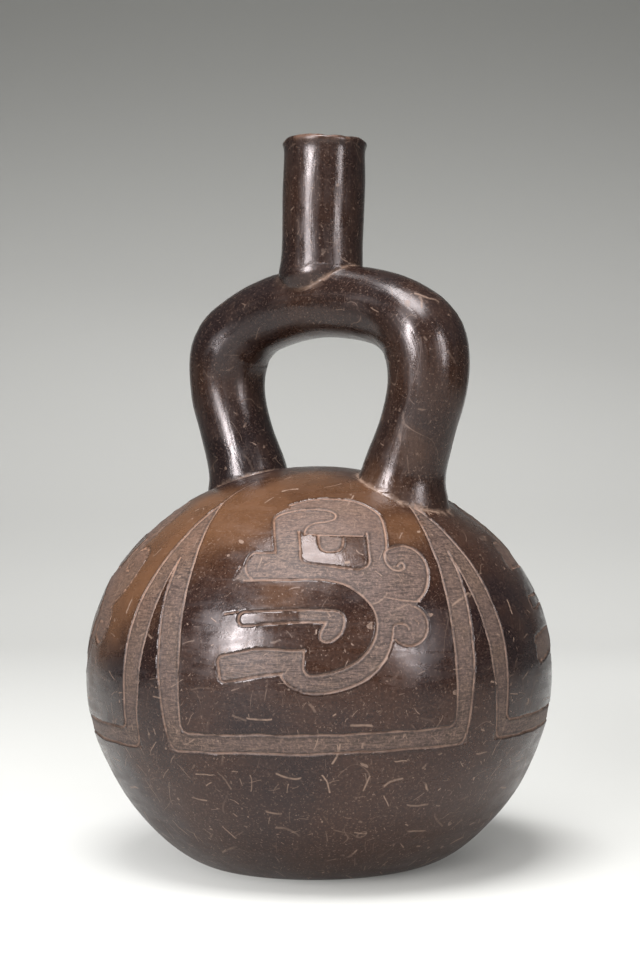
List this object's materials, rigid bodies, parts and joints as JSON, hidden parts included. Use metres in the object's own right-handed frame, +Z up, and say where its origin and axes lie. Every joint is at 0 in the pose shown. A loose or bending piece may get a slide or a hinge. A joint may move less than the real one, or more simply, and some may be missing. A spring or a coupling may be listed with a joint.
{
  "type": "stirrup spout vessel",
  "caption": "Round hollow pottery bottle with an incised bowl and a tubular stirrup that carries a single upright spout.",
  "frame": {"origin": "on the table, below the middle of the bowl", "axes": "+Z up along the spout, -Y towards the panel whose incised head is seen best, +X to that view's right"},
  "size_m": [0.1498, 0.1498, 0.2321],
  "materials": {
    "clay": "burnished dark brown and grey-black fired clay with lighter incised lines"
  },
  "bodies": {
    "root": {"vessel": "clay"}
  },
  "joints": []
}
